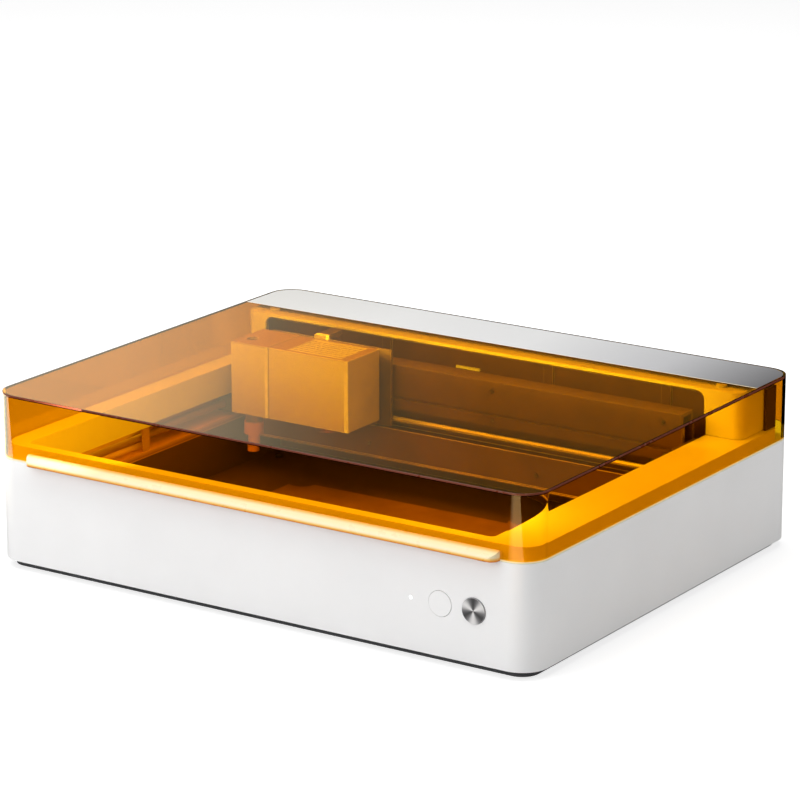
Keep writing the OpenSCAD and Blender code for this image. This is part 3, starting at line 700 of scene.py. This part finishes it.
def aim():
    """Camera at the studied angle, with the object's floor origin low in the frame."""
    az, el, roll = (math.radians(a) for a in (CAMERA_AZ, CAMERA_EL, CAMERA_ROLL))
    back = Vector((math.sin(az) * math.cos(el), -math.cos(az) * math.cos(el), math.sin(el)))
    right = (-back).cross(Vector((0, 0, 1))).normalized()
    up = right.cross(-back)
    turned_right = right * math.cos(roll) + up * math.sin(roll)
    turned_up = up * math.cos(roll) - right * math.sin(roll)
    data = bpy.data.cameras.new("camera")
    data.sensor_width = 36
    data.lens = CAMERA_LENS
    data.clip_end = 50
    camera = bpy.data.objects.new("camera", data)
    bpy.context.scene.collection.objects.link(camera)
    place = back * CAMERA_DISTANCE + turned_right * CAMERA_SIDE + turned_up * CAMERA_RISE
    turn = Matrix((turned_right, turned_up, back)).transposed().to_4x4()
    camera.matrix_world = Matrix.Translation(place) @ turn
    bpy.context.scene.camera = camera


def softbox(name, place, target, width, height, power, mirrored=True):
    """Soft lamp. One that isn't mirrored lights matt surfaces and shows in no reflection."""
    data = bpy.data.lights.new(name, "AREA")
    data.shape = "RECTANGLE"
    data.size, data.size_y = width, height
    data.energy = power
    lamp = bpy.data.objects.new(name, data)
    bpy.context.scene.collection.objects.link(lamp)
    look = (Vector(target) - Vector(place)).to_track_quat("-Z", "Y")
    lamp.matrix_world = Matrix.Translation(place) @ look.to_matrix().to_4x4()
    lamp.visible_glossy = lamp.visible_transmission = mirrored
    lamp.visible_camera = False


def seen_directly(made):
    """Blacks a surface out where it would show as a reflection in a pane."""
    rays = made.node("ShaderNodeLightPath")
    many = made.node("ShaderNodeMath", operation="GREATER_THAN")
    black = made.node("ShaderNodeEmission", Strength=0.0)
    pick = made.node("ShaderNodeMixShader")
    made.link(rays, "Glossy Depth", many, 0)
    made.link(many, "Value", pick, "Fac")
    made.tree.links.new(made.bsdf.outputs["BSDF"], pick.inputs[1])
    made.tree.links.new(black.outputs["Emission"], pick.inputs[2])
    made.tree.links.new(pick.outputs["Shader"], made.tree.nodes["Material Output"].inputs["Surface"])


def floor():
    """Pale ground in three sheets: one that light falls on, one the camera sees, one seen
    through the lid."""
    bm = bmesh.new()
    bmesh.ops.create_grid(bm, x_segments=1, y_segments=1, size=14)
    mesh = bpy.data.meshes.new("floor")
    bm.to_mesh(mesh)
    bm.free()
    for name, shade, glow, seen_by in (("floor", 226, 0.0, "diffuse"), ("floor_seen", 226, 0.62, "camera"),
                                       ("floor_through", 214, 0.34, "transmission")):
        made = Shader(name + "_paint", rgb(shade, shade, shade), 0.9, Emission_Color=(1, 1, 1, 1),
                      Emission_Strength=glow)
        made.bsdf.inputs["Specular IOR Level"].default_value = 0.0
        sheet = bpy.data.objects.new(name, mesh.copy())
        sheet.data.materials.append(made.vary_color(3, 0.004).mat)
        bpy.context.scene.collection.objects.link(sheet)
        if seen_by == "transmission":
            seen_directly(made)
        for way in ("camera", "diffuse", "glossy", "transmission", "shadow"):
            setattr(sheet, "visible_" + way, way == seen_by)


def card(name, corner, along, up, stops):
    """Glowing sheet seen in reflections only, its strength graded along its length."""
    bm = bmesh.new()
    corners = ((0, 0, 0), (along.length, 0, 0), (along.length, up.length, 0), (0, up.length, 0))
    bm.faces.new([bm.verts.new(corner_point) for corner_point in corners])
    mesh = bpy.data.meshes.new(name)
    bm.to_mesh(mesh)
    bm.free()
    made = graded(name + "_light", stops, 1.0)
    made.bsdf.inputs["Base Color"].default_value = (0, 0, 0, 1)
    tones = made.bsdf.inputs["Base Color"].links[0].from_node
    made.link(tones, "Color", made.bsdf, "Emission Color")
    made.tree.links.remove(made.bsdf.inputs["Base Color"].links[0])
    made.bsdf.inputs["Emission Strength"].default_value = 1.0
    made.bsdf.inputs["Specular IOR Level"].default_value = 0.0
    mesh.materials.append(made.mat)
    sheet = bpy.data.objects.new(name, mesh)
    bpy.context.scene.collection.objects.link(sheet)
    x, y = along.normalized(), up.normalized()
    turn = Matrix((x, y, x.cross(y))).transposed().to_4x4()
    sheet.matrix_world = Matrix.Translation(corner) @ turn
    sheet.visible_camera = sheet.visible_diffuse = sheet.visible_transmission = False
    sheet.visible_shadow = False


def world():
    made = bpy.data.worlds.new("studio")
    bpy.context.scene.world = made
    made.use_nodes = True
    made.node_tree.nodes["Background"].inputs["Color"].default_value = (1, 1, 1, 1)
    made.node_tree.nodes["Background"].inputs["Strength"].default_value = 0.25
    made.cycles_visibility.glossy = False


def warm(value):
    """Light of a given strength, a little yellow."""
    return (value, value * 0.9, value * 0.66, 1)


bpy.context.scene.view_settings.view_transform = "Standard"
world()
floor()
aim()
softbox("overhead", (-0.5, -0.2, 2.4), (-0.1, 0, 0), 3.2, 3.2, 72)
softbox("front", (-0.9, -2.6, 1.3), (0, 0, 0.05), 2.2, 1.6, 33)
softbox("right", (2.0, 1.4, 1.0), (0, 0, 0.05), 1.6, 1.2, 13)
softbox("housing", (0, 0.1, 0.1545), (0, 0.15, 0.15), 0.46, 0.02, 0.24, mirrored=False)
softbox("chamber", (-0.08, -0.17, 0.152), (-0.2, 0.05, 0.08), 0.3, 0.03, 0.3, mirrored=False)
softbox("bed", (0.13, -0.13, 0.15), (0.14, -0.1, 0.02), 0.2, 0.06, 0.2, mirrored=False)
softbox("slot", (-0.2605, -0.11, 0.0828), (-0.268, -0.11, 0.066), 0.17, 0.006, 0.02, mirrored=False)

behind = Vector((-math.sin(math.radians(CAMERA_AZ)), math.cos(math.radians(CAMERA_AZ)), 0))
across = Vector((math.cos(math.radians(CAMERA_AZ)), math.sin(math.radians(CAMERA_AZ)), 0))
card("card_behind", behind * 3 - across * 0.8 + Vector((0, 0, 0.2)), across * 1.6, Vector((0, 0, 1.9)),
     [(0.0, warm(1.15)), (0.34, warm(0.9)), (0.5, warm(0.66)), (0.6, warm(0.38)), (0.7, warm(0.19)),
      (0.8, warm(0.1)), (0.95, warm(0.04)), (1.4, warm(0.012))])
card("card_right_corner", Vector((0.12, -0.8, 0.002)), Vector((0.32, 0, 0)), Vector((0, 0.35, 0)),
     [(0.0, (0.8, 0.5, 0.2, 1)), (0.1, (4.6, 2.8, 1.1, 1)), (0.32, (4.6, 2.8, 1.1, 1))])
card("card_left_corner", Vector((-0.85, -0.45, 0.002)), Vector((0.35, 0, 0)), Vector((0, 0.6, 0)),
     [(0.0, warm(5.0)), (0.35, warm(5.0))])
